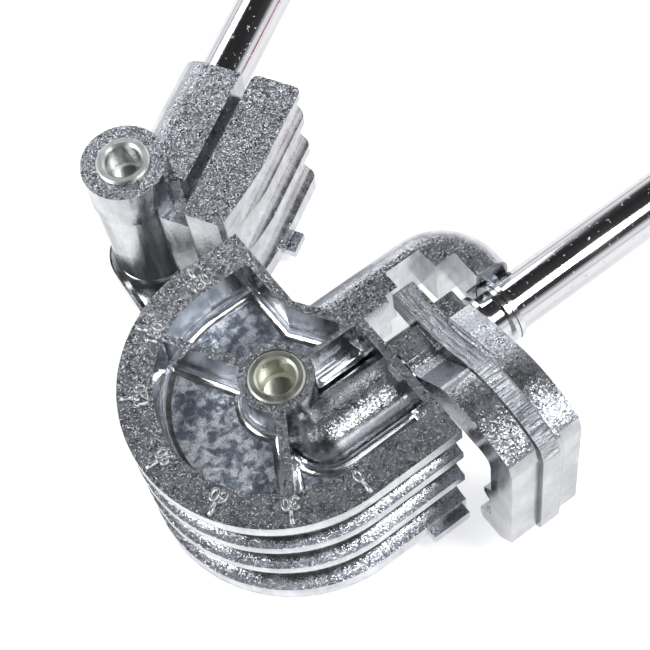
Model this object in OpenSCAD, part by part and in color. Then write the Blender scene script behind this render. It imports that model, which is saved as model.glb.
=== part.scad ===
// Three-groove hand tube bender: a dial wheel with a fixed handle, a link that swings
// round the wheel, a grooved shoe on its own handle, and a hook that latches the tube.
// Millimetres. The wheel axis is +Z, the dial face is z = 0, the fixed handle runs to +X.

/* [Tube grooves] */
// radius of the wheel rim and of every tube centre line
wheel_r = 30; // [24:0.5:40]
// tube diameters held by the top, middle and bottom groove
tube_d = [6.35, 7.94, 9.53]; // [4:0.01:12]
// clearance added to a tube's radius in a groove
groove_play = 0.2; // [0.05:0.05:0.5]
// thickness of the dial flange above the top groove
dial_t = 3.2; // [2:0.1:5]
// thickness of the lips between grooves
lip_t = 2.5; // [1.5:0.1:4]
// thickness of the flange below the bottom groove
foot_flange_t = 4.1; // [2:0.1:6]

/* [Wheel casting] */
// depth of the open pockets in the dial
pocket_h = 10; // [6:0.5:14]
// outer radius of the pockets
pocket_r = 23.2; // [18:0.1:26]
// radius of the ring round the centre rivet
hub_r = 7.3; // [6:0.1:10]
// length of the straight groove past the 0 mark
lead_x = 20; // [14:0.5:30]
// length of the straight groove past the 180 mark
tail_x = 11.8; // [8:0.1:20]
// depth of the arm's top face below the dial
arm_top = 4; // [2:0.1:8]
// thickness of the arm that reaches round the hook
arm_t = 13.6; // [10:0.1:20]
// outer radius of the arm's bend
arm_r = 14; // [10:0.5:20]

/* [Handles] */
// diameter of both handle bars
bar_d = 11.1; // [9:0.1:16]
// diameter of the turned neck inside the casting and the hook
neck_d = 10.2; // [8:0.1:15]
// distance from the wheel axis to the end of both bars
bar_end = 290; // [200:5:400]
// height of both bar axes below the dial
bar_z = 12; // [8:0.1:20]
// sideways offset of the fixed bar from the wheel axis
bar_y = -10.8; // [-16:0.1:0]
// outer diameter of the grips
grip_d = 17.4; // [14:0.2:24]
// length of the grips
grip_l = 118; // [80:1:150]

/* [Link and shoe] */
// distance from the wheel axis to the shoe pivot
pivot_c = 57.98; // [50:0.1:70]
// bearing of the link at rest, from the fixed bar
link_a = 86.2; // [80:0.1:100]
// bearing of the shoe handle at rest, from the fixed bar
shoe_a = 30.7; // [0:0.1:60]
// gap between the shoe's lips and the wheel rim when closed
shoe_gap = 1.65; // [0.8:0.05:3]
// thickness of the link plate
link_t = 2.8; // [2:0.1:5]
// half width of the link plate
link_w = 10; // [8:0.1:14]

/* [Rivets] */
// shank radius of the semi-tubular rivets
rivet_r = 5; // [4:0.1:7]
// bore radius of the hollow rivets
rivet_bore_r = 3.7; // [2.5:0.1:5]
// depth of the hollow end of each rivet
rivet_bore_h = 7; // [4:0.5:20]

/* [Part] */
// one sub-part, or all of them

/* [Hidden] */
run = 0.06;
seat = 0.02;
g_r = [for (d = tube_d) d / 2 + groove_play];
g1_z = -dial_t - g_r[0];
g2_z = g1_z - g_r[0] - lip_t - g_r[1];
g3_z = g2_z - g_r[1] - lip_t - g_r[2];
g_z = [g1_z, g2_z, g3_z];
foot_z = g3_z - g_r[2];
base_z = foot_z - foot_flange_t;
rim_w = 6;
link_top = base_z - 0.5;
link_bot = link_top - link_t;
head_t = 1.6;
washer_t = 1.2;
rivet_low = link_bot - 0.1 - washer_t - head_t;
pivot = [pivot_c * cos(link_a), pivot_c * sin(link_a), 0];
bar_r = bar_d / 2;
neck_r = neck_d / 2;
shoe_face = -(pivot_c - wheel_r - shoe_gap);
boss_r = 8.8;
boss_low = link_top + 4.2;
bar_off = -5.4;
shoulder_x = 45.7;
block_l = 29;
block_back = -15.6;
web_z = -11.5;
hook_x0 = 21.3;
hook_x1 = 37.4;
hook_out = -42.5;
$fn = 96;

function arc(cx, cy, r, a0, a1, n) =
    [for (i = [0:n]) [cx + r * cos(a0 + (a1 - a0) * i / n), cy + r * sin(a0 + (a1 - a0) * i / n)]];

// a round bar along +X
module rod_x(x0, x1, r) {
    translate([x0, 0, 0]) rotate([0, 90, 0]) cylinder(r = r, h = x1 - x0);
}

// a profile drawn in Y and Z, extruded along +X
module slab_x(x0, x1, pts) {
    translate([x0, 0, 0]) rotate([90, 0, 90]) linear_extrude(x1 - x0) polygon(pts);
}

module ring(r_out, r_in, z0, z1) {
    translate([0, 0, z0]) difference() {
        cylinder(r = r_out, h = z1 - z0);
        translate([0, 0, -1]) cylinder(r = r_in, h = z1 - z0 + 2);
    }
}

// ---- wheel casting ----

// half section of the rim: a square band with the three tube grooves cut in its face
module rim_2d() {
    difference() {
        translate([wheel_r - rim_w, base_z]) square([rim_w, -base_z]);
        for (i = [0:2]) translate([wheel_r, g_z[i]]) circle(r = g_r[i]);
    }
}

// the rim turns through half a circle, with a straight tail past both end marks
module rim() {
    rotate([0, 0, 90]) rotate_extrude(angle = 180) rim_2d();
    rotate([90, 0, 90]) linear_extrude(tail_x) rim_2d();
    rotate([90, 0, 90]) linear_extrude(lead_x) mirror([1, 0]) rim_2d();
}

// plan of the solid inside the rim
module core_2d() {
    core = wheel_r - rim_w + 1;
    intersection() {
        circle(r = core);
        translate([-wheel_r, -wheel_r]) square([wheel_r, 2 * wheel_r]);
    }
    polygon([[0, -core], [lead_x, -core], [lead_x, 0.3], [14, 7.6], [tail_x, 11],
        [tail_x, core], [0, core]]);
}

module spoke_2d(a, w) {
    rotate(a) translate([0, -w / 2]) square([pocket_r + 3, w]);
}

module pocket_2d() {
    difference() {
        union() {
            intersection() {
                circle(r = pocket_r);
                translate([-pocket_r - 1, -pocket_r - 1]) square([pocket_r + 1, 2 * pocket_r + 2]);
            }
            polygon(concat([[0, 0], [0, pocket_r]],
                arc(8.5, pocket_r - 1.2, 1.2, 90, 0, 4), [[9.7, 10.6], [15.7, 1.8], [15, 0.45]]));
            polygon(concat([[0, -0.6]], arc(17, -1.7, 1.1, 90, 0, 4),
                arc(16.7, -pocket_r + 1.3, 1.4, 0, -90, 4), [[0, -pocket_r]]));
        }
        circle(r = hub_r);
        spoke_2d(120, 1.8);
        spoke_2d(240, 2);
        spoke_2d(-0.2, 1.05);
        translate([-0.5, -0.6]) square([16, 1.05]);
    }
}

// underside pockets that leave the rim, the hub and three ribs
module cored_2d() {
    difference() {
        intersection() {
            circle(r = 22);
            translate([-23, -23]) square([21, 46]);
        }
        circle(r = 11.5);
        spoke_2d(120, 3.4);
        spoke_2d(240, 3.4);
        spoke_2d(180, 3.4);
    }
}

// cross-section of the arm in Y and Z: flat inside, rounded outside
function arm_pts(y0, y1, rr) = concat([[y0, -arm_top - arm_t], [y0, -arm_top]],
    arc(y1 - rr, -arm_top - rr, rr, 90, 0, 8), arc(y1 - rr, -arm_top - arm_t + rr, rr, 0, -90, 8));

module arm() {
    difference() {
        union() {
            slab_x(6, 36.8, arm_pts(-2, 12, 5));
            translate([36.8, -2, 0]) rotate_extrude(angle = 90)
                polygon(arm_pts(0, arm_r, 5));
            translate([36.8, -2, 0]) rotate([90, 0, 0]) linear_extrude(3.1)
                polygon(arm_pts(0, arm_r, 5));
        }
        // stepped window that the hook turns in
        translate([0, 0, -40]) linear_extrude(60)
            polygon([[lead_x, -30], [lead_x, 1.4], [30.1, 1.4], [30.1, 6.5], [38.1, 6.5],
                [38.5, 1.5], [43.1, 1.5], [43.2, -30]]);
        // relief for the hook's heel
        translate([0, bar_y, -bar_z]) rod_x(27, 31, 15.6);
    }
}

module forming_die() {
    color([0.78, 0.79, 0.81]) difference() {
        union() {
            rim();
            translate([0, 0, base_z]) linear_extrude(-base_z) core_2d();
            arm();
            // saddle that carries the fixed bar
            translate([41.2, -8.2, -arm_top - arm_t]) cube([6.8, 4.2, arm_t - 5.6]);
            // pad under the flange's corner that stops the link
            translate([10.9, -wheel_r - 1.4, base_z - 2.8]) cube([8.8, 7, 3]);
        }
        difference() {
            translate([0, 0, -pocket_h]) linear_extrude(pocket_h + 1) pocket_2d();
            translate([0, bar_y, -bar_z]) {
                rod_x(2.6, lead_x, 7.6);
                translate([2.6, 0, 0]) sphere(r = 7.6);
            }
        }
        translate([0, 0, base_z - 1]) linear_extrude(-base_z - pocket_h - 3) cored_2d();
        translate([0, bar_y, -bar_z]) {
            rod_x(-0.6, lead_x + 1, neck_r + seat);
            rod_x(40, shoulder_x, 6.6);
            rod_x(shoulder_x - 0.1, 54, bar_r + seat);
        }
        translate([13, bar_y, base_z - 1]) cylinder(r = 2 + seat, h = 26);
        translate([0, 0, base_z - 1]) cylinder(r = rivet_r + seat, h = 60);
        translate([0, 0, -0.5]) cylinder(r = rivet_r + 0.7, h = 2);
    }
}

module dial_marks() {
    color([0.83, 0.84, 0.86]) for (a = [0:30:180]) {
        rotate([0, 0, -90 - a]) translate([26.6, -0.3, 0.01]) cube([2.6, 0.6, 0.35]);
    }
}

// ---- rivets and washers ----

// semi-tubular rivet: a rolled hollow end above and a solid head below
module rivet(rim_z) {
    rotate_extrude() polygon([[0, rivet_low], [0, rim_z + 0.6 - rivet_bore_h],
        [rivet_bore_r - 0.5, rim_z + 0.9 - rivet_bore_h],
        [rivet_bore_r, rim_z + 1.4 - rivet_bore_h], [rivet_bore_r, rim_z + 0.3],
        [rivet_bore_r + 0.5, rim_z + 0.75], [rivet_r + 0.1, rim_z + 0.75],
        [rivet_r + 0.5, rim_z + 0.4], [rivet_r + 0.5, rim_z + 0.05], [rivet_r, rim_z + 0.05],
        [rivet_r, rivet_low + head_t], [rivet_r + 3, rivet_low + head_t],
        [rivet_r + 3, rivet_low + 0.5], [rivet_r + 2.5, rivet_low]]);
}

module hub_rivet() {
    color([0.74, 0.74, 0.62]) rivet(-0.5);
}

module pivot_rivet() {
    color([0.78, 0.79, 0.78]) translate(pivot) rivet(0.05);
}

module hub_shim() {
    color([0.6, 0.61, 0.63]) ring(9.5, rivet_r + 0.1, link_top + 0.08, base_z - 0.08);
}

module hub_washer() {
    color([0.66, 0.67, 0.69]) ring(9, rivet_r + 0.1, link_bot - 0.08 - washer_t, link_bot - 0.08);
}

module pivot_washer() {
    color([0.66, 0.67, 0.69]) translate(pivot)
        ring(9, rivet_r + 0.1, link_bot - 0.05 - washer_t, link_bot - 0.05);
}

module pivot_spacer() {
    color([0.62, 0.63, 0.65]) translate(pivot)
        ring(6.6, rivet_r + 0.1, link_top + 0.05, boss_low - 1.05);
}

module thrust_ring() {
    color([0.66, 0.67, 0.69]) translate(pivot)
        ring(8.6, rivet_r + 0.1, boss_low - 0.95, boss_low - 0.1);
}

// ---- fixed handle ----

module fixed_bar() {
    color([0.8, 0.8, 0.82]) translate([0, bar_y, -bar_z]) difference() {
        union() {
            rod_x(-0.4, shoulder_x, neck_r);
            rod_x(shoulder_x, bar_end, bar_r);
        }
        translate([13, 0, -20]) cylinder(r = 2 + seat, h = 40);
        // groove for the circlip
        difference() {
            rod_x(39.3, 40.3, neck_r + 1);
            rod_x(39.2, 40.4, neck_r - 0.5);
        }
    }
}

// roll pin that keeps the bar in its socket
module bar_pin() {
    color([0.45, 0.45, 0.47]) translate([13, bar_y, base_z + 1]) difference() {
        cylinder(r = 2, h = 24);
        translate([0, 0, -1]) cylinder(r = 1.1, h = 26);
    }
}

module neck_ring(x0, x1, r_out, r_in) {
    translate([0, bar_y, -bar_z]) difference() {
        rod_x(x0, x1, r_out);
        rod_x(x0 - 1, x1 + 1, r_in);
    }
}

module hook_circlip() {
    color([0.75, 0.75, 0.77]) neck_ring(39.35, 40.25, 6.4, neck_r - 0.45);
}

module neck_washer() {
    color([0.75, 0.75, 0.77]) neck_ring(43.6, 44.5, 6.3, neck_r + seat);
}

module bar_collar() {
    color([0.75, 0.75, 0.77]) neck_ring(44.7, 45.65, 6.4, neck_r + seat);
}

// soft sleeve with a rolled mouth and a closed round end, drawn along +X
module grip(x1) {
    x0 = x1 - grip_l;
    gr = grip_d / 2;
    rotate([0, 90, 0]) rotate_extrude() polygon(concat([[bar_r + seat, x0], [gr - 0.6, x0]],
        [[gr + 0.3, x0 + 1], [gr + 0.3, x0 + 4], [gr - 0.4, x0 + 6], [gr, x1 - 8]],
        arc(gr - 6, x1 - 2.5, 6, 0, 90, 6), [[0, x1 + 3.5], [0, bar_end + 0.05],
        [bar_r + seat, bar_end + 0.05]]));
}

module fixed_grip() {
    color([0.75, 0.08, 0.08]) translate([0, bar_y, -bar_z]) grip(bar_end);
}

// ---- link ----

// rim that flares up round the shoe end and dies away towards the wheel
module link_rim() {
    rim_h = 2.4;
    difference() {
        union() {
            cylinder(r = link_w, h = link_t + rim_h);
            translate([-26, -link_w, 0]) cube([26, 2 * link_w, link_t + rim_h]);
        }
        translate([0, 0, link_t]) cylinder(r1 = link_w - 1.8, r2 = link_w - 0.45, h = rim_h + 0.01);
        translate([-27, 0, 0]) rotate([90, 0, 90]) linear_extrude(27)
            polygon([[link_w - 1.8, link_t], [link_w - 0.45, link_t + rim_h + 0.01],
                [-link_w - 1, link_t + rim_h + 0.01], [-link_w - 1, link_t]]);
        translate([0, 20, 0]) rotate([90, 0, 0]) linear_extrude(40)
            polygon([[-26.5, link_t + 0.3], [-4, link_t + rim_h], [-4, 20], [-26.5, 20]]);
        translate([0, 0, -1]) linear_extrude(20)
            polygon([[-30, 0], [-4, 4], [7, 7], [14, 7], [14, -14], [-30, -14]]);
    }
}

module link_plate() {
    color([0.72, 0.73, 0.75]) rotate([0, 0, link_a]) difference() {
        union() {
            translate([0, 0, link_bot]) linear_extrude(link_t) union() {
                circle(r = link_w);
                translate([pivot_c, 0]) circle(r = link_w);
                translate([0, -link_w]) square([pivot_c, 2 * link_w]);
            }
            translate([pivot_c, 0, link_bot]) link_rim();
        }
        translate([0, 0, link_bot - 1]) cylinder(r = rivet_r + run, h = 10);
        translate([pivot_c, 0, link_bot - 1]) cylinder(r = rivet_r + seat, h = 10);
    }
}

// ---- shoe ----

module place_shoe() {
    translate(pivot) rotate([0, 0, shoe_a]) children();
}

// the grooved block in plan, with the groove face eased at the pivot end
module block_2d(face) {
    polygon(concat(arc(-5, block_back - 1.2, 1.2, 180, 90, 4),
        arc(block_l - 1.5, block_back - 1.5, 1.5, 90, 0, 5),
        arc(block_l - 1.5, face + 1.5, 1.5, 0, -90, 5),
        [[8.8, face], [4.5, face + 0.45], [0, face + 1.1], [-5.2, face + 2]],
        [[-6.2, face + 2.9]]));
}

module shoe_casting() {
    bar_in = -12;
    bar_out = 2.2;
    color([0.78, 0.79, 0.81]) place_shoe() difference() {
        union() {
            translate([0, 0, -10]) cylinder(r = boss_r, h = 10);
            translate([0, 0, boss_low]) cylinder(r = boss_r - 0.45, h = -boss_low);
            // socket for the bar, flat inside and rounded outside
            slab_x(2.5, 30, concat([[bar_in, -20], [bar_in, -4]],
                arc(bar_out - 6.2, -10.2, 6.2, 90, 0, 8), arc(bar_out - 5, -15, 5, 0, -90, 8)));
            // block
            translate([0, 0, base_z + 0.1]) linear_extrude(-1.4 - base_z - 0.1) block_2d(shoe_face);
            // web under the gap
            translate([-3.6, block_back - 2, web_z - 7]) cube([32.4, 8, 7]);
            translate([-3.6, block_back - 2, boss_low + 0.6]) cube([13, 12, web_z - boss_low - 0.6]);
            // gusset from the boss into the bar's root
            translate([0, 0, -20]) linear_extrude(15.4) polygon([[1, -9], [4, -12], [8, -12],
                [8, 1.5], [2, 5]]);
            // toe that reaches under the wheel's flange
            translate([11, shoe_face - 2, base_z - 2.6]) cube([5, 9, 2.2]);
            translate([11, shoe_face + 1, base_z - 2]) cube([5, 6, 2.4]);
        }
        // tube grooves
        for (i = [0:2]) {
            translate([0, -(pivot_c - wheel_r), g_z[i]]) rod_x(-12, block_l + 5, g_r[i] + 0.25);
        }
        translate([9.5, bar_off, -bar_z]) rod_x(0, 30, bar_r + seat);
        translate([0, 0, -60]) cylinder(r = rivet_r + run, h = 70);
        translate([20, bar_off, -30]) cylinder(r = 2 + seat, h = 20);
    }
}

module shoe_bar() {
    color([0.8, 0.8, 0.82]) place_shoe() difference() {
        translate([0, bar_off, -bar_z]) rod_x(9.7, bar_end - 4, bar_r);
        translate([20, bar_off, -30]) cylinder(r = 2 + seat, h = 20);
    }
}

// roll pin driven up into the bar from below
module shoe_pin() {
    color([0.45, 0.45, 0.47]) place_shoe() translate([20, bar_off, -19.4]) difference() {
        cylinder(r = 2, h = 9.2);
        translate([0, 0, -1]) cylinder(r = 1.1, h = 12);
    }
}

module shoe_grip() {
    color([0.75, 0.08, 0.08]) place_shoe() translate([-4, bar_off, -bar_z]) grip(bar_end);
}

// ---- hook ----

// room inside the hook for the tubes, with a tooth between the top two and the lowest
module throat_2d() {
    polygon(concat([[-18.4, -20], [-18.4, -8.5]], arc(-21.4, -8, 3, 150, 90, 4),
        arc(-33.3, -7.6, 3, 90, 180, 5),
        [[-36.3, -18.6], [-34.2, -20.8], [-34.2, -22.8], [-36, -24.8], [-36.2, -31.5],
        [-32.8, -34], [-32.8, -38.5], [-18.4, -38.5]]));
}

// hook profile in Y and Z: knuckle with a flat pad, a rise, the arc, the end wall and lip
module claw_2d(r, out, pad, rise) {
    difference() {
        union() {
            translate([bar_y, -bar_z]) circle(r = 8.2);
            polygon(pad);
            polygon(concat(rise, [[-25, 4.4], [-25, -12], [-12, -14]]));
            intersection() {
                translate([-30, -17]) circle(r = r);
                polygon([[-25, -12], [-22.1, 10], [out + 3, 10], [out, -1.8], [out, -34],
                    [out + 3.4, -37.8], [-33.6, -37.8]]);
            }
            polygon([[out, -1.8], [out, -34], [out + 3.4, -37.8], [-33.6, -37.8], [-33.6, -8],
                [-38, 0.5], [out + 1.4, 0.3]]);
        }
        throat_2d();
    }
}

module hook_slab(x0, x1, r, out, pad, rise) {
    translate([x0, 0, 0]) rotate([90, 0, 90]) linear_extrude(x1 - x0) claw_2d(r, out, pad, rise);
}

module latch_hook() {
    near_pad = [[-11.4, -10], [-11.4, -3.6], [-6.4, -3.6], [-5.8, -4.2], [-5.8, -10]];
    far_pad = [[-10.4, -10], [-10.4, -3.2], [-5.2, -3.2], [-4.6, -3.8], [-4.6, -10]];
    near_rise = [[-12.2, -4.9], [-15.7, -3.1], [-18.9, 0.1], [-22.1, 3.3]];
    far_rise = [[-9.6, -3.4], [-10.3, -0.7], [-13.4, 0.5], [-16.4, 2.1], [-19.3, 3]];
    color([0.77, 0.78, 0.8]) difference() {
        union() {
            hook_slab(hook_x0, 33, 22, hook_out, near_pad, near_rise);
            hook_slab(32.2, hook_x1, 22, hook_out, far_pad, far_rise);
            // centre rib, linished flat along its top
            hook_slab(27.7, 32.4, 22.7, hook_out - 1, near_pad, [[-12, -0.5], [-16, 0.9], [-20, 3.1]]);
            // heel of the rib
            slab_x(27.7, 32.4, [[1, -7.5], [1, -2.2], [0.2, -1.4], [-13, -0.5], [-16, 0.9],
                [-19, 2], [-19, -4], [-8, -7.5]]);
        }
        translate([0, bar_y, -bar_z]) rod_x(hook_x0 - 1, hook_x1 + 1, neck_r + run);
    }
}

forming_die();
dial_marks();
hub_rivet();
hub_shim();
hub_washer();
fixed_bar();
bar_pin();
hook_circlip();
neck_washer();
bar_collar();
fixed_grip();
link_plate();
pivot_rivet();
pivot_spacer();
thrust_ring();
pivot_washer();
shoe_casting();
shoe_bar();
shoe_pin();
shoe_grip();
latch_hook();
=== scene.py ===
import math
import bmesh
import bpy
from mathutils import Matrix, Vector


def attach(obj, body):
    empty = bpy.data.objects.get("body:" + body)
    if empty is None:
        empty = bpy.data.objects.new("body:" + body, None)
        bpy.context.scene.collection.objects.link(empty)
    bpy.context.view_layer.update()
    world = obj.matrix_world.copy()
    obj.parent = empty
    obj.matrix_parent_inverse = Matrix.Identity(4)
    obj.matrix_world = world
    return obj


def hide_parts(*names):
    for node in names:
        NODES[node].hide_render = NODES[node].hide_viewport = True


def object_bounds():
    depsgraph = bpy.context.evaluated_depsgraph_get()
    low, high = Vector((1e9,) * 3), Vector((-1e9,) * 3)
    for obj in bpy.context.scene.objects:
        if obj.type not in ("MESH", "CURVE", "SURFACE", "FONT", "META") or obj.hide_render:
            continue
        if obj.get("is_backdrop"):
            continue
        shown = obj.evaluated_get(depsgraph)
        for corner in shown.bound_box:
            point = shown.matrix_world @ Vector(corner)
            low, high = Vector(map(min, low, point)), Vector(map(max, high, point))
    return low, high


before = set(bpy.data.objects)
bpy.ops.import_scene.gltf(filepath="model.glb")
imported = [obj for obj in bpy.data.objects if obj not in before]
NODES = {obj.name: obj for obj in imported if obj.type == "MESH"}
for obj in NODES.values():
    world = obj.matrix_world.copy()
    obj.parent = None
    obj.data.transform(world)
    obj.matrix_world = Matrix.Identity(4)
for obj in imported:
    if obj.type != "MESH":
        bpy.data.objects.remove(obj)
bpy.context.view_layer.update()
MM = 0.001


# ---------------------------------------------------------------- camera
# the photograph's viewpoint: side, height and roll in degrees, then what it looks at and from how far
AZIMUTH, ELEVATION, ROLL = -116.31, 62.22, -11.49
LOOK_AT = (0.01348, 0.00295, 0)
DISTANCE = 0.32771
LENS_MM, SENSOR_MM = 96.92, 36
NEAR, FAR = 0.01, 20


def make_camera():
    az, el, roll = math.radians(AZIMUTH), math.radians(ELEVATION), math.radians(ROLL)
    d = Vector((math.cos(el) * math.cos(az), math.cos(el) * math.sin(az), math.sin(el)))
    right = (-d).cross(Vector((0, 0, 1))).normalized()
    up = right.cross(-d)
    r = math.cos(roll) * right + math.sin(roll) * up
    u = -math.sin(roll) * right + math.cos(roll) * up
    c = Vector(LOOK_AT) + DISTANCE * d
    cam = bpy.data.objects.new("camera", bpy.data.cameras.new("camera"))
    bpy.context.collection.objects.link(cam)
    cam.matrix_world = Matrix(
        ((r.x, u.x, d.x, c.x), (r.y, u.y, d.y, c.y), (r.z, u.z, d.z, c.z), (0, 0, 0, 1))
    )
    cam.data.sensor_width = SENSOR_MM
    cam.data.lens = LENS_MM
    cam.data.clip_start = NEAR
    cam.data.clip_end = FAR
    bpy.context.scene.camera = cam


make_camera()


# ---------------------------------------------------------------- node helpers
# how near two places count as equal, for the COMPARE operation: half the width of a painted shade line
# beside the hook's rib
SHADE_LINE_HALF = 0.00016


class Mat:
    """A small helper that builds one Principled material."""

    def __init__(self, name, **sockets):
        self.m = bpy.data.materials.new(name)
        self.m.use_nodes = True
        self.t = self.m.node_tree
        self.b = self.t.nodes["Principled BSDF"]
        for k, v in sockets.items():
            self.b.inputs[k.replace("_", " ")].default_value = v
        self.co = self.t.nodes.new("ShaderNodeTexCoord")

    def n(self, kind, **inputs):
        node = self.t.nodes.new("ShaderNode" + kind)
        for k, v in inputs.items():
            self.put(node, k, v)
        return node

    def put(self, node, k, v):
        """Link or set one input, given by its name, or by its number as i0, i1 and so on."""
        numbered = k[0] == "i" and k[1:].isdigit()
        sock = node.inputs[int(k[1:])] if numbered else node.inputs[k.replace("_", " ")]
        if hasattr(v, "is_output"):
            self.t.links.new(v, sock)
        else:
            sock.default_value = v

    def obj(self, scale=(1, 1, 1)):
        mp = self.n("Mapping")
        mp.inputs["Scale"].default_value = scale
        self.t.links.new(self.co.outputs["Object"], mp.inputs["Vector"])
        return mp.outputs["Vector"]

    def noise(self, scale, detail=3.0, rough=0.5, stretch=(1, 1, 1), distort=0.0):
        node = self.n("TexNoise", Scale=scale, Detail=detail, Roughness=rough, Distortion=distort)
        self.t.links.new(self.obj(stretch), node.inputs["Vector"])
        return node.outputs["Fac"]

    def ramp(self, fac, *stops):
        node = self.n("ValToRGB")
        self.t.links.new(fac, node.inputs["Fac"])
        el = node.color_ramp.elements
        while len(el) < len(stops):
            el.new(0.5)
        for e, (p, c) in zip(el, stops):
            e.position = p
            e.color = (c, c, c, 1) if isinstance(c, (int, float)) else tuple(c) + (1,)
        return node.outputs["Color"]

    def math(self, op, a, b=0.0):
        node = self.n("Math", i0=a, i1=b, i2=SHADE_LINE_HALF)
        node.operation = op
        return node.outputs[0]

    def map(self, v, a, b, c, d):
        node = self.n("MapRange", Value=v, From_Min=a, From_Max=b, To_Min=c, To_Max=d)
        return node.outputs[0]

    def mix(self, fac, a, b, blend="MIX"):
        node = self.n("Mix")
        node.data_type = "RGBA"
        node.blend_type = blend
        for i, v in ((0, fac), (6, a), (7, b)):
            if hasattr(v, "is_output"):
                self.t.links.new(v, node.inputs[i])
            else:
                node.inputs[i].default_value = v if i == 0 else tuple(v) + (1,)
        return node.outputs[2]

    def facing(self, lo=0.8, hi=0.97):
        """1 on faces that look up or down the wheel axis, 0 on the walls."""
        sep = self.n("SeparateXYZ")
        self.t.links.new(self.co.outputs["Normal"], sep.inputs[0])
        return self.map(self.math("ABSOLUTE", sep.outputs[2]), lo, hi, 0.0, 1.0)

    def vec(self, op, a, b=None, scale=None):
        node = self.n("VectorMath")
        node.operation = op
        self.put(node, "i0", a)
        if b is not None:
            self.put(node, "i1", b)
        if scale is not None:
            self.put(node, "Scale", scale)
        return node.outputs[0]

    def mul(self, fac, a, b):
        return self.mix(fac, a, b, "MULTIPLY")

    def bump(self, height, strength, dist, prev=None):
        node = self.n("Bump", Height=height, Strength=strength, Distance=dist)
        if prev is not None:
            self.t.links.new(prev, node.inputs["Normal"])
        return node.outputs[0]

    def set(self, **k):
        for name, v in k.items():
            self.put(self.b, name, v)
        return self.m


# where the castings' own marks lie, in metres
POCKET_FLOOR_Z = -0.010
# pairs of places between which a mark fades in or out
FLOOR_ABOVE, FLOOR_BELOW = (-0.0095, -0.0092), (-0.0104, -0.0101)
# the same for the square of the distance from the wheel's axis, in square metres
POCKET_REACH_SQUARED = (0.000576, 0.000586)
# the hook's rib, its crest and its heel
RIB_NEAR_X, RIB_FAR_X = (0.0276, 0.0278), (0.0312, 0.0316)
RIB_CREST_Z = (-0.0045, -0.002)
RIB_HEEL_Y = (-0.0255, -0.0215)
# two painted shade lines, dark lines in the corners beside the rib
RIB_SHADE_LINES_X = (0.0276, 0.0325)
ALLOY = (0.70, 0.715, 0.745)


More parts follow.
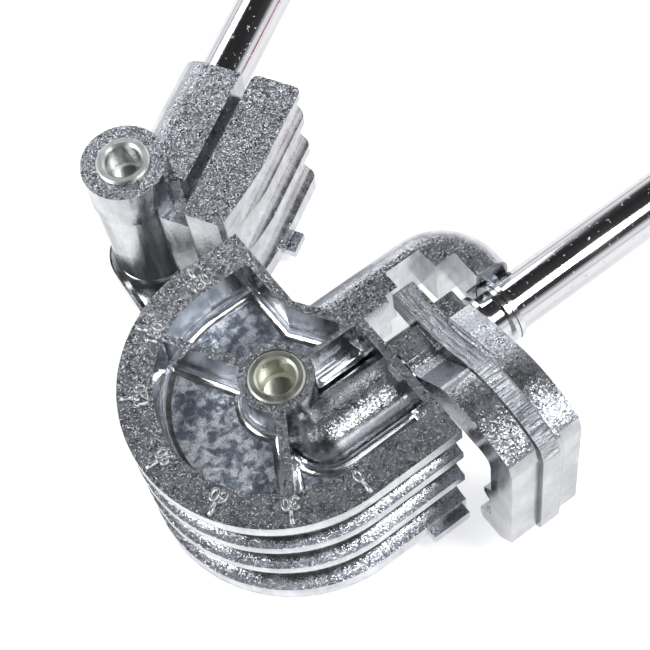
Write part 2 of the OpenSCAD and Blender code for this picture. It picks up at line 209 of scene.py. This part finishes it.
def cast_metal(name, lo=0.8, hi=0.97, floor=False, rib=False, painted_wall_light=1.0, sparkle=0.4):
    """Die-cast alloy: crystalline, glittering skin on the flat faces and smoother drawn walls; the walls
    are painted a plain grey set by the wall factor, darker than the flats by default as painted shade,
    and brighter on the pocket fillets as painted highlight.
    """
    m = Mat(name, Metallic=1.0)
    flat = m.facing(lo, hi)
    geo = m.n("NewGeometry")
    # flakes: every small cell leans its own way, and the cells are drawn out by a slow swirl
    swirl = m.n("TexNoise", Scale=700.0, Detail=2.0)
    m.t.links.new(m.obj(), swirl.inputs["Vector"])
    bend = m.vec("SCALE", m.vec("SUBTRACT", swirl.outputs["Color"], (0.5, 0.5, 0.5)), scale=0.0011)
    where = m.vec("ADD", m.obj(), bend)
    cells = m.n("TexVoronoi", Vector=where, Scale=5200.0)
    lean = m.vec("SUBTRACT", cells.outputs["Color"], (0.5, 0.5, 0.5))
    amount = m.map(flat, 0, 1, 0.06, sparkle)
    tilted = m.vec("NORMALIZE", m.vec("ADD", geo.outputs["Normal"], m.vec("SCALE", lean, scale=amount)))
    grain = m.noise(3000, 4, 0.65)
    normal = m.bump(m.math("MULTIPLY", grain, m.map(flat, 0, 1, 0.3, 1.0)), 0.28, 0.00016, tilted)
    if rib:
        # coarse grinding strokes across the rib, fine ones along its heel
        sep = m.n("SeparateXYZ")
        m.t.links.new(m.co.outputs["Object"], sep.inputs[0])
        x, y, z = sep.outputs
        on = m.math("MULTIPLY", m.map(x, *RIB_NEAR_X, 0, 1), m.map(x, *RIB_FAR_X, 1, 0))
        crest = m.math("MULTIPLY", on, m.map(z, *RIB_CREST_Z, 0, 1))
        arc = m.math("MULTIPLY", crest, m.map(y, *RIB_HEEL_Y, 1, 0))
        heel = m.math("MULTIPLY", crest, m.map(y, *RIB_HEEL_Y, 0, 1))
        cut = m.noise(2600, 3, 0.7, (0.07, 1, 1))
        fine = m.noise(2400, 3, 0.7, (1, 0.06, 0.06))
        rub = m.math("ADD", m.math("MULTIPLY", cut, arc), m.math("MULTIPLY", fine, heel))
        normal = m.bump(rub, 1.0, 0.0005, normal)
        # painted shade: a thin dark line at each corner beside the rib
        rib_shade_line = m.math("ADD", *(m.math("COMPARE", x, place) for place in RIB_SHADE_LINES_X))
    cloud = m.noise(160, 4, 0.65)
    draw = m.noise(520, 4, 0.6, (1, 1, 0.12))
    dark, pale = tuple(c * 0.82 for c in ALLOY), tuple(c * 1.15 for c in ALLOY)
    base = m.mix(m.map(cloud, 0.35, 0.68, 0, 1), dark, pale)
    # painted light: the walls take a plain grey of 0.82 times the wall factor against the alloy-tinted
    # flats, painted shade below 1.22 and painted highlight above it
    tint_and_painted_wall_light = m.mix(flat, (0.82 * painted_wall_light,) * 3, ALLOY)
    base = m.mul(1.0, base, tint_and_painted_wall_light)
    streak = m.ramp(draw, (0.34, 0.86), (0.5, 0.97), (0.66, 1.08))
    base = m.mul(m.math("SUBTRACT", 1.0, flat), base, streak)
    pits = m.ramp(m.noise(3300, 3, 0.7), (0.36, 0.35), (0.5, 1.0))
    base = m.mul(m.math("MULTIPLY", flat, 0.8), base, pits)
    if rib:
        # painted shade: darken the corner lines beside the rib
        base = m.mul(m.math("MULTIPLY", rib_shade_line, 0.75), base, (0.25, 0.25, 0.26))
        base = m.mul(arc, base, m.ramp(cut, (0.4, 0.5), (0.5, 1.25), (0.6, 1.9)))
        base = m.mul(heel, base, m.ramp(fine, (0.4, 0.6), (0.6, 1.5)))
    rough = m.math("ADD", m.map(flat, 0, 1, 0.2, 0.3), m.map(draw, 0.3, 0.7, -0.07, 0.07))
    if floor:
        sep = m.n("SeparateXYZ")
        m.t.links.new(m.co.outputs["Object"], sep.inputs[0])
        x, y, z = sep.outputs
        low = m.math("MULTIPLY", flat, m.map(z, *FLOOR_ABOVE, 1, 0))
        low = m.math("MULTIPLY", low, m.map(z, *FLOOR_BELOW, 0, 1))
        left = m.math("MINIMUM", x, 0.0)
        reach = m.math("ADD", m.math("MULTIPLY", left, left), m.math("MULTIPLY", y, y))
        low = m.math("MULTIPLY", low, m.map(reach, *POCKET_REACH_SQUARED, 1, 0))
        blue, white, bright = (0.5, 0.54, 0.62), (0.95, 1.0, 1.08), (1.9, 1.9, 1.9)
        mott = m.ramp(m.noise(560, 3, 0.5, distort=0.3), (0.4, blue), (0.5, white), (0.6, bright))
        base = m.mul(low, base, mott)
        rough = m.math("ADD", rough, m.math("MULTIPLY", low, 0.16))
    return m.set(Base_Color=base, Roughness=rough, Normal=normal)


def bar_metal(name, tint=(0.64, 0.645, 0.66), rough=0.09, along=(0.04, 1, 1)):
    """Bright plate over drawn bar, with faint draw lines, specks and wear."""
    m = Mat(name, Metallic=1.0)
    lines = m.noise(1400, 3, 0.6, along)
    specks = m.ramp(m.noise(1100, 2, 0.5), (0.68, 0.0), (0.74, 1.0))
    cloud = m.noise(60, 3, 0.6)
    b1 = m.bump(lines, 0.12, 0.00006)
    b2 = m.bump(specks, 0.5, 0.00012, b1)
    r = m.math("ADD", m.map(cloud, 0.3, 0.7, rough * 0.7, rough * 1.6), m.math("MULTIPLY", specks, 0.25))
    base = m.mix(m.map(cloud, 0.3, 0.7, 0, 1), tuple(c * 0.93 for c in tint), tint)
    return m.set(Base_Color=base, Roughness=r, Normal=b2)


def turned_metal(name, tint, rough=0.25, dark=0.8):
    """Plated or turned steel with fine rings, handling marks and a slightly uneven plate."""
    m = Mat(name, Metallic=1.0)
    cloud = m.noise(220, 4, 0.6)
    fine = m.noise(3800, 3, 0.6, (1, 1, 4))
    base = m.mix(m.map(cloud, 0.3, 0.7, 0, 1), tuple(c * dark for c in tint), tint)
    r = m.map(cloud, 0.3, 0.7, rough * 0.75, rough * 1.35)
    return m.set(Base_Color=base, Roughness=r, Normal=m.bump(fine, 0.2, 0.00006))


def vinyl(name, tint):
    """Dip-moulded vinyl: soft orange-peel skin, lighter rubbed spots and fine scuffs."""
    m = Mat(name, Metallic=0.0, Specular_IOR_Level=0.5)
    peel = m.noise(900, 3, 0.5)
    cloud = m.noise(45, 4, 0.6)
    scuff = m.ramp(m.noise(700, 4, 0.7, (0.15, 1, 1)), (0.62, 0.0), (0.75, 1.0))
    base = m.mix(m.map(cloud, 0.3, 0.7, 0, 1), tuple(c * 0.75 for c in tint), tint)
    r = m.math("ADD", m.map(cloud, 0.3, 0.7, 0.38, 0.5), m.math("MULTIPLY", scuff, 0.15))
    b = m.bump(scuff, 0.1, 0.00005, m.bump(peel, 0.3, 0.00012))
    return m.set(Base_Color=base, Roughness=r, Normal=b)


def paint(material, *nodes):
    for name in nodes:
        slots = NODES[name].data.materials
        slots.clear()
        slots.append(material)


CAST = cast_metal("cast_alloy")
CAST_WHEEL = cast_metal("cast_wheel", floor=True)
# painted shade: the hook's walls are painted darker, at 0.8 of the usual wall grey
CAST_HOOK = cast_metal("cast_hook", lo=0.45, hi=0.62, rib=True, sparkle=0.34, painted_wall_light=0.8)
# painted highlight: the pocket fillets are painted 1.55 times brighter than the usual wall grey
COVE_PAINTED_HIGHLIGHT = cast_metal("cast_cove_painted_highlight", lo=0.985, hi=0.999, painted_wall_light=1.55)


def figure_metal():
    """Cast figures: flanks painted bright as painted highlight, crowns painted dark as painted shade."""
    m = Mat("cast_figures_painted_light", Metallic=1.0)
    cloud = m.noise(700, 4, 0.6)
    flank = m.mix(m.map(cloud, 0.3, 0.7, 0, 1), (0.86, 0.87, 0.88), (0.99, 0.99, 0.99))
    crown = m.mix(m.map(cloud, 0.35, 0.65, 0, 1), (0.16, 0.17, 0.19), (0.42, 0.43, 0.46))
    # painted light: the upward crowns get the dark colour and the sloping flanks the bright one
    base = m.mix(m.facing(), flank, crown)
    grain = m.bump(m.noise(3800, 3, 0.6), 0.3, 0.0001)
    return m.set(Base_Color=base, Roughness=m.map(cloud, 0.3, 0.7, 0.28, 0.42), Normal=grain)


FIGURE = figure_metal()
CHROME = bar_metal("bar_chrome")
ZINC = turned_metal("rivet_zinc", (0.78, 0.8, 0.71), 0.3)
PLATE = turned_metal("plate_zinc", (0.72, 0.73, 0.73), 0.2)
BRIGHT = turned_metal("rivet_bright", (0.78, 0.8, 0.79), 0.3)
WASHER = turned_metal("washer_steel", (0.74, 0.75, 0.77), 0.16)
PIN = turned_metal("pin_steel", (0.4, 0.4, 0.42), 0.3)
GRIP = vinyl("grip_red", (0.42, 0.018, 0.02))

paint(CAST, "shoe_casting")
paint(CAST_WHEEL, "forming_die")
paint(CAST_HOOK, "latch_hook")
paint(CHROME, "fixed_bar", "shoe_bar")
paint(ZINC, "hub_rivet")
paint(PLATE, "link_plate")
paint(BRIGHT, "pivot_rivet")
paint(WASHER, "hub_shim", "hub_washer", "hook_circlip", "neck_washer", "bar_collar")
paint(WASHER, "pivot_spacer", "thrust_ring", "pivot_washer")
paint(PIN, "bar_pin", "shoe_pin")
paint(GRIP, "fixed_grip", "shoe_grip")


# ---------------------------------------------------------------- edges
WELD_WITHIN = 2e-6


def ease(name, width):
    """Weld the CAD faces together and round the edges between them."""
    o = NODES[name]
    w = o.modifiers.new("weld", "WELD")
    w.merge_threshold = WELD_WITHIN
    b = o.modifiers.new("ease", "BEVEL")
    b.width = width * MM
    b.segments = 3
    b.limit_method = "ANGLE"
    b.angle_limit = math.radians(32)
    b.use_clamp_overlap = True
    b.miter_outer = "MITER_SHARP"
    b.harden_normals = True


ease("forming_die", 0.45)
ease("shoe_casting", 0.45)
ease("latch_hook", 0.35)

# ---------------------------------------------------------------- dial figures
# strokes in a box 1 high: l is a line through points, o an arc: centre, radii, first and last degree
DIGITS = {
    "0": [("o", 0.3, 0.5, 0.27, 0.46, 0, 360)],
    "1": [("l", (0.16, 0.8), (0.34, 0.97), (0.34, 0.03))],
    "2": [("o", 0.3, 0.7, 0.26, 0.27, 170, -30), ("l", (0.525, 0.565), (0.05, 0.04), (0.56, 0.04))],
    "3": [("o", 0.28, 0.73, 0.24, 0.23, 150, -80), ("o", 0.28, 0.27, 0.27, 0.25, 90, -150)],
    "5": [("l", (0.52, 0.96), (0.12, 0.96), (0.08, 0.56)), ("o", 0.28, 0.32, 0.27, 0.29, 130, -150)],
    "6": [("o", 0.3, 0.29, 0.25, 0.26, 0, 360), ("o", 0.46, 0.34, 0.42, 0.62, 100, 175)],
    "8": [("o", 0.3, 0.74, 0.21, 0.22, 0, 360), ("o", 0.3, 0.27, 0.26, 0.25, 0, 360)],
    "9": [("o", 0.3, 0.7, 0.25, 0.26, 0, 360), ("o", 0.14, 0.66, 0.42, 0.62, -80, -5)],
}


def strokes(ch):
    """The points along each stroke of one digit."""
    out = []
    for kind, *s in DIGITS[ch]:
        if kind == "l":
            out.append(s)
            continue
        cx, cy, rx, ry, a0, a1 = s
        n = max(6, int(abs(a1 - a0) / 15))
        turns = [math.radians(a0 + (a1 - a0) * i / n) for i in range(n + 1)]
        out.append([(cx + rx * math.cos(t), cy + ry * math.sin(t)) for t in turns])
    return out


# section of a raised stroke: across in half widths, up in heights
RIDGE = (
    (1.15, -0.15), (1.05, 0.15), (0.72, 0.85), (0.45, 1.0),
    (-0.45, 1.0), (-0.72, 0.85), (-1.05, 0.15), (-1.15, -0.15),
)


def ridge(bm, pts, half, high):
    """A raised stroke with sloping flanks and a flat crown along the points, closed all round."""
    closed = (Vector(pts[0]) - Vector(pts[-1])).length < 1e-6
    if closed:
        pts = pts[:-1]
    n = len(pts)
    rings = []
    for i in range(n):
        p = Vector(pts[i])
        a = Vector(pts[(i - 1) % n]) if closed or i else p
        b = Vector(pts[(i + 1) % n]) if closed or i < n - 1 else p
        d0, d1 = (p - a), (b - p)
        d0 = d0.normalized() if d0.length > 0 else d1.normalized()
        d1 = d1.normalized() if d1.length > 0 else d0
        t = (d0 + d1).normalized()
        k = 1 / max(0.6, t.dot(d0))
        side = Vector((-t.y, t.x)) * k
        if not closed and i in (0, n - 1):
            p = p - t * half * 0.7 if i == 0 else p + t * half * 0.7
        ring = []
        for w, z in RIDGE:
            q = p + side * half * w
            ring.append(bm.verts.new((q.x, q.y, high * z)))
        rings.append(ring)
    for i in range(n if closed else n - 1):
        r0, r1 = rings[i], rings[(i + 1) % n]
        for j in range(len(RIDGE)):
            k = (j + 1) % len(RIDGE)
            bm.faces.new((r0[j], r0[k], r1[k], r1[j]))
    if not closed:
        bm.faces.new(rings[0][::-1])
        bm.faces.new(rings[-1])


def piece(name, bm, material, body):
    me = bpy.data.meshes.new(name)
    bmesh.ops.recalc_face_normals(bm, faces=bm.faces)
    bm.to_mesh(me)
    bm.free()
    o = bpy.data.objects.new(name, me)
    bpy.context.collection.objects.link(o)
    me.materials.append(material)
    for p in me.polygons:
        p.use_smooth = True
    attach(o, body)
    return o


# the figures and ticks of the dial, in millimetres
FIGURE_HIGH, FIGURE_STEP, FIGURE_FOOT_R = 2.35, 1.62, 24.15
FIGURE_HALF, TICK_HALF, RAISED = 0.27, 0.36, 0.46
TICK_R = (27.0, 28.2, 29.0)


def dial():
    bm = bmesh.new()
    for deg in range(0, 181, 30):
        a = math.radians(deg)
        up = Vector((-math.sin(a), -math.cos(a)))
        right = Vector((up.y, -up.x))
        text = str(deg)
        x = -FIGURE_STEP * len(text) / 2 + 0.1
        for ch in text:
            for st in strokes(ch):
                pts = []
                for sx, sy in st:
                    q = right * (x + sx * FIGURE_HIGH * 0.98) + up * (FIGURE_FOOT_R + sy * FIGURE_HIGH)
                    pts.append((q.x * MM, q.y * MM))
                ridge(bm, pts, FIGURE_HALF * MM, RAISED * MM)
            x += FIGURE_STEP
        pts = [tuple(up * r * MM) for r in TICK_R]
        ridge(bm, pts, TICK_HALF * MM, RAISED * MM)
    o = piece("dial_figures", bm, FIGURE, "frame")
    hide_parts("dial_marks")


dial()


# ---------------------------------------------------------------- cast fillets in the pockets
COVE_R = 1.9 * MM
COVE_STEPS = 6


def coves():
    """A hollow fillet along every edge where a pocket's wall meets its floor."""
    src = bmesh.new()
    src.from_mesh(NODES["forming_die"].data)
    bmesh.ops.remove_doubles(src, verts=src.verts, dist=WELD_WITHIN)
    after = {}
    for e in src.edges:
        if len(e.link_faces) != 2 or max(abs(v.co.z - POCKET_FLOOR_Z) for v in e.verts) > 2e-5:
            continue
        flat = [f for f in e.link_faces if f.normal.z > 0.99]
        if len(flat) != 1:
            continue
        # walk the edge the way its floor face does, so that the floor is on the left
        loop = next(l for l in flat[0].loops if l.edge == e)
        after[loop.vert.index] = (loop.link_loop_next.vert.index, loop.vert.co.copy())
    loops = []
    while after:
        start = min(after)
        ring, at = [], start
        while at in after:
            nxt, co = after.pop(at)
            ring.append((co.x, co.y))
            at = nxt
        if at == start and len(ring) > 8:
            loops.append(ring)
    src.free()
    bm = bmesh.new()
    for ring in loops:
        n = len(ring)
        levels = []
        for k in range(COVE_STEPS + 1):
            t = math.radians(90 * k / COVE_STEPS)
            inward = (1 - math.cos(t)) * COVE_R - 2e-5 * (k == 0)
            up = (1 - math.sin(t)) * COVE_R
            row = []
            for i in range(n):
                p, a, b = Vector(ring[i]), Vector(ring[i - 1]), Vector(ring[(i + 1) % n])
                d0, d1 = (p - a).normalized(), (b - p).normalized()
                n0, n1 = Vector((-d0.y, d0.x)), Vector((-d1.y, d1.x))
                m = (n0 + n1).normalized()
                q = p + m * inward / max(0.5, m.dot(n0))
                row.append(bm.verts.new((q.x, q.y, POCKET_FLOOR_Z + up + 1e-5 * (k == COVE_STEPS))))
            levels.append(row)
        # close the strip behind, inside the casting, so that it is a solid
        back = [bm.verts.new((v.co.x, v.co.y, POCKET_FLOOR_Z - 0.0001)) for v in levels[0]]
        foot = [bm.verts.new((v.co.x, v.co.y, POCKET_FLOOR_Z - 0.0001)) for v in levels[-1]]
        rows = levels + [foot, back]
        for j in range(len(rows)):
            lo_row, hi_row = rows[j], rows[(j + 1) % len(rows)]
            for i in range(n):
                k = (i + 1) % n
                bm.faces.new((lo_row[i], lo_row[k], hi_row[k], hi_row[i]))
    o = piece("pocket_fillets", bm, COVE_PAINTED_HIGHLIGHT, "frame")
    o.data.set_sharp_from_angle(angle=math.radians(50))


coves()


# ---------------------------------------------------------------- floor and light
# how bright the surroundings are, from the horizon (0) to straight up (1); below it they stay as at 0
SKY = ((0.0, 0.6), (0.08, 0.95), (0.26, 1.0), (0.4, 0.4), (0.5, 0.05), (0.84, 0.025), (1.0, 0.06))
# name, place in metres, power in watts
LAMPS = (
    ("soft_left", (-0.9, 0.25, 0.75), 6.5),
    ("soft_right", (0.5, -0.6, 1.15), 9.0),
    ("soft_back", (0.25, 1.0, 0.7), 2.6),
)
LAMP_SIZE = 0.42
LAMP_TARGET = (0.02, 0.0, -0.01)


def stage():
    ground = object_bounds()[0][2] - 0.0001
    bm = bmesh.new()
    bmesh.ops.create_grid(bm, x_segments=1, y_segments=1, size=3)
    me = bpy.data.meshes.new("floor")
    bm.to_mesh(me)
    bm.free()
    floor = bpy.data.objects.new("floor", me)
    floor.location = (0.1, 0, ground)
    bpy.context.collection.objects.link(floor)
    m = Mat("floor_white", Base_Color=(0.93, 0.93, 0.93, 1), Roughness=0.9)
    m.b.inputs["Specular IOR Level"].default_value = 0.05
    m.b.inputs["Emission Color"].default_value = (1, 1, 1, 1)
    m.b.inputs["Emission Strength"].default_value = 0.52
    me.materials.append(m.m)
    floor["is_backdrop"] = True
    w = bpy.data.worlds.new("studio")
    bpy.context.scene.world = w
    w.use_nodes = True
    t = w.node_tree
    co = t.nodes.new("ShaderNodeTexCoord")
    sep = t.nodes.new("ShaderNodeSeparateXYZ")
    ramp = t.nodes.new("ShaderNodeValToRGB")
    t.links.new(co.outputs["Generated"], sep.inputs[0])
    t.links.new(sep.outputs[2], ramp.inputs[0])
    t.links.new(ramp.outputs[0], t.nodes["Background"].inputs[0])
    el = ramp.color_ramp.elements
    while len(el) < len(SKY):
        el.new(0.5)
    for e, (p, c) in zip(el, SKY):
        e.position = p
        e.color = (c, c, c * 1.03, 1)
    t.nodes["Background"].inputs[1].default_value = 1.15
    for name, place, power in LAMPS:
        lamp = bpy.data.lights.new(name, "AREA")
        lamp.energy = power
        lamp.size = LAMP_SIZE
        o = bpy.data.objects.new(name, lamp)
        o.location = place
        o.rotation_euler = (Vector(LAMP_TARGET) - o.location).to_track_quat("-Z", "Y").to_euler()
        bpy.context.collection.objects.link(o)


stage()
# the default view transform turns the white floor grey
bpy.context.scene.view_settings.view_transform = "Standard"
